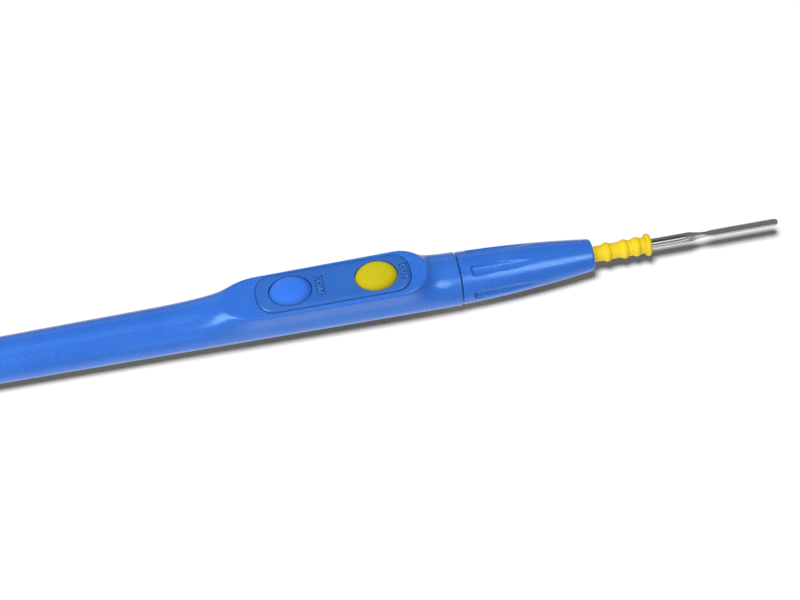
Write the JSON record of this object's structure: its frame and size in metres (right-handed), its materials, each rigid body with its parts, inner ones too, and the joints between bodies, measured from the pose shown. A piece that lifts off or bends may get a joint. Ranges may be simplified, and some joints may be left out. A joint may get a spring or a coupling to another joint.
{
  "type": "electrosurgical pencil",
  "caption": "Slim hand-switched electrosurgical pencil with a raised switch pad, oval cut and coagulate buttons, a fluted nose cone and a plug-in blade electrode.",
  "frame": {"origin": "centre of the cable inlet's mouth at the handle's rear end, on the pencil axis", "axes": "+X along the pencil axis to the blade's tip, +Z out of the switch pad, buttons up"},
  "size_m": [0.1929, 0.012, 0.0149],
  "materials": {
    "blue_abs": "fine moulded satin",
    "plate_blue": "moulded satin",
    "coag_blue": "satin gloss",
    "cut_yellow": "satin gloss",
    "sleeve_yellow": "moulded satin",
    "stainless": "ground and polished",
    "brass": "turned",
    "board_laminate": "glass-epoxy laminate",
    "film_clear": "polyester film",
    "carrier_nylon": "natural nylon"
  },
  "bodies": {
    "pencil": {"rear_cap": "blue_abs", "handle": "blue_abs", "nose_cone": "blue_abs", "switch_plate": "plate_blue", "switch_board": "board_laminate", "dome_film": "film_clear", "coag_dome": "stainless", "cut_dome": "stainless", "contact_leaf": "brass", "active_tag": "brass", "cut_tag": "brass", "coag_tag": "brass", "contact_socket": "brass", "socket_carrier": "carrier_nylon"},
    "coag_key": {"coag_button": "coag_blue"},
    "cut_key": {"cut_button": "cut_yellow"},
    "electrode": {"electrode_blade": "stainless", "electrode_sleeve": "sleeve_yellow"}
  },
  "joints": [
    {"name": "coag_press", "type": "slide", "parent": "pencil", "child": "coag_key", "axis": [0, 0, -1], "range_m": [0, 0.0005], "stiffness_N_per_m": 3000, "deforming": ["coag_dome"]},
    {"name": "cut_press", "type": "slide", "parent": "pencil", "child": "cut_key", "axis": [0, 0, -1], "range_m": [0, 0.0005], "stiffness_N_per_m": 3000, "deforming": ["cut_dome"]},
    {"name": "electrode_pull", "type": "slide", "parent": "pencil", "child": "electrode", "axis": [1, 0, 0], "range_m": [0, 0.028]}
  ]
}
